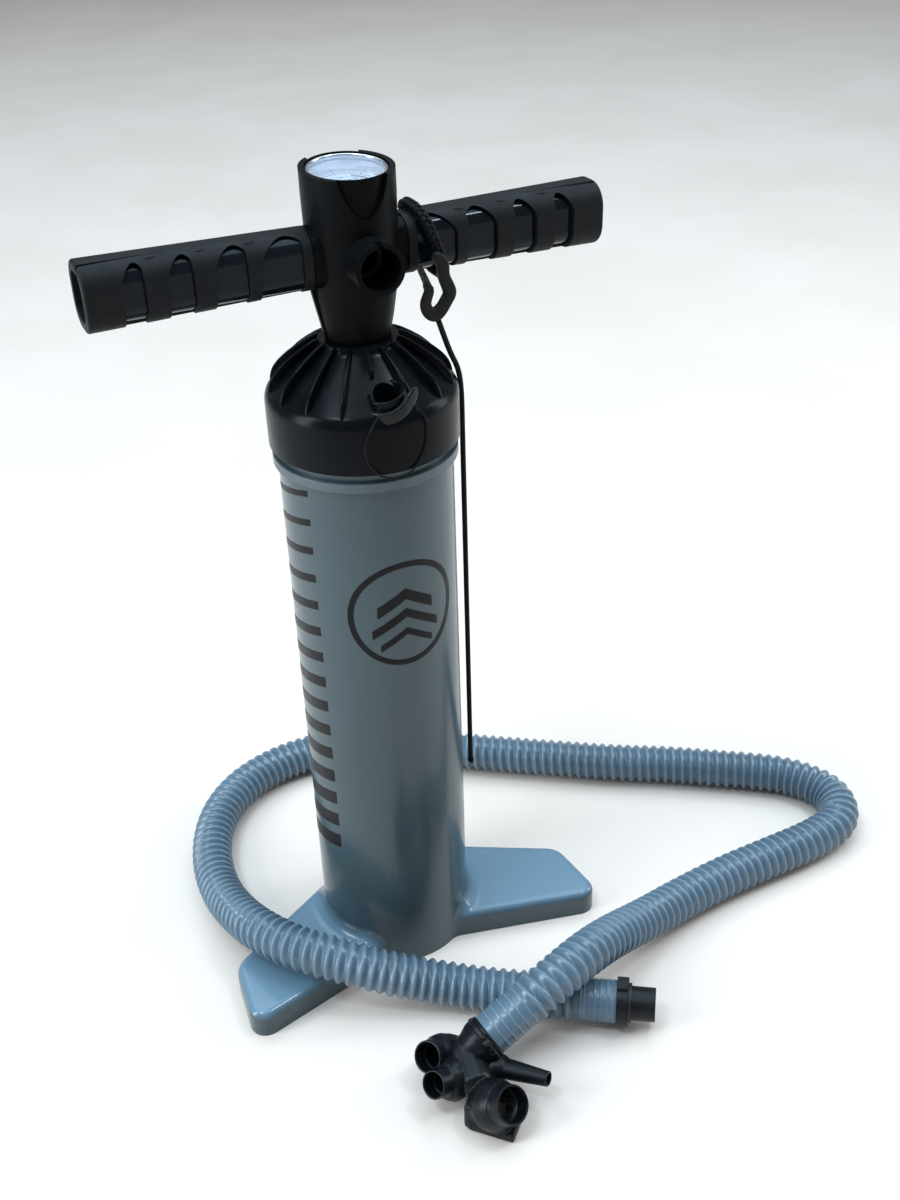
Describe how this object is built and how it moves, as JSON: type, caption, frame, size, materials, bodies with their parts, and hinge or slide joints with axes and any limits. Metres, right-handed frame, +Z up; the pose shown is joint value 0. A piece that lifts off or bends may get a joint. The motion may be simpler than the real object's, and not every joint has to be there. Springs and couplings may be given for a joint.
{
  "type": "hand pump",
  "caption": "Upright hand air pump with T-handle, pressure gauge, floor feet, detached corrugated hose and nozzle set.",
  "frame": {"origin": "on the floor at the axis of the pump barrel", "axes": "+Z up along the barrel, X along the T-handle, the gauge face, hose port and cap port face -Y"},
  "size_m": [0.547, 0.4415, 0.5765],
  "materials": {
    "barrel_plastic": "glossy moulded blue-grey",
    "lip_plastic": "light grey satin",
    "cap_plastic": "black satin gloss",
    "hub_plastic": "black satin",
    "arm_plastic": "black gloss",
    "grip_rubber": "matt dark grey",
    "seal_rubber": "black",
    "inner_plastic": "natural white",
    "rod_metal": "anodised",
    "nut_metal": "zinc plated",
    "gauge_metal": "bright pressed steel",
    "dial_print": "silvery white",
    "lens_clear": "clear",
    "needle_paint": "black",
    "hose_plastic": "blue-grey satin",
    "connector_plastic": "black satin",
    "nozzle_rubber": "black, slightly glossy",
    "strap_plastic": "black",
    "cord_black": "braided black",
    "hook_plastic": "black, dusty"
  },
  "bodies": {
    "barrel_body": {"barrel": "barrel_plastic", "barrel_lip": "lip_plastic", "cap": "cap_plastic", "cap_seal": "seal_rubber", "rod_bush": "inner_plastic", "rod_wiper": "seal_rubber", "port_strap": "strap_plastic", "port_loop": "cord_black", "hose_tube": "hose_plastic", "hose_cuff": "hose_plastic", "hose_connector": "connector_plastic", "connector_seal": "seal_rubber", "nozzle_collar": "nozzle_rubber", "nozzle_tie": "strap_plastic", "nozzle_carrier": "nozzle_rubber", "nozzle_wide": "nozzle_rubber", "nozzle_small": "nozzle_rubber", "nozzle_ring": "nozzle_rubber", "nozzle_taper": "nozzle_rubber"},
    "piston": {"piston_disc": "inner_plastic", "piston_seal": "seal_rubber", "intake_guide": "inner_plastic"},
    "intake": {"intake_valve": "inner_plastic"},
    "handle": {"piston_rod": "rod_metal", "rod_collar": "inner_plastic", "rod_nut": "nut_metal", "outlet_seat": "inner_plastic", "outlet_guide": "inner_plastic", "hub": "hub_plastic", "hose_port_seal": "seal_rubber", "gauge_case": "gauge_metal", "gauge_dial": "dial_print", "gauge_pivot": "nut_metal", "gauge_lens": "lens_clear", "handle_arm_right": "arm_plastic", "grip_right": "grip_rubber", "handle_arm_left": "arm_plastic", "grip_left": "grip_rubber", "leash_noose": "cord_black", "snap_hook": "hook_plastic", "leash_cord": "cord_black", "leash_knot": "cord_black"},
    "outlet": {"outlet_valve": "inner_plastic"},
    "needle": {"gauge_needle": "needle_paint"},
    "gate": {"snap_gate": "hook_plastic"}
  },
  "joints": [
    {"name": "rod_slide", "type": "slide", "parent": "barrel_body", "child": "piston", "axis": [0, 0, 1], "range_m": [0, 0.34]},
    {"name": "handle_turn", "type": "hinge", "parent": "piston", "child": "handle", "pos_m": [0, 0, 0.03], "axis": [0, 0, 1], "range_deg": [-45, 45]},
    {"name": "intake_lift", "type": "slide", "parent": "piston", "child": "intake", "axis": [0, 0, -1], "range_m": [0, 0.003], "stiffness_N_per_m": 20, "springref_m": -0.002},
    {"name": "outlet_lift", "type": "slide", "parent": "handle", "child": "outlet", "axis": [0, 0, 1], "range_m": [0, 0.003]},
    {"name": "needle_turn", "type": "hinge", "parent": "handle", "child": "needle", "pos_m": [0, 0.00082, 0.56504], "axis": [0, -0.0872, 0.9962], "range_deg": [-270, 0], "stiffness_Nm_per_rad": 0.0001},
    {"name": "gate_snap", "type": "hinge", "parent": "handle", "child": "gate", "pos_m": [0.036, -0.0256, 0.505], "axis": [0, 1, 0], "range_deg": [0, 15], "stiffness_Nm_per_rad": 0.02, "springref_deg": -5.73}
  ]
}
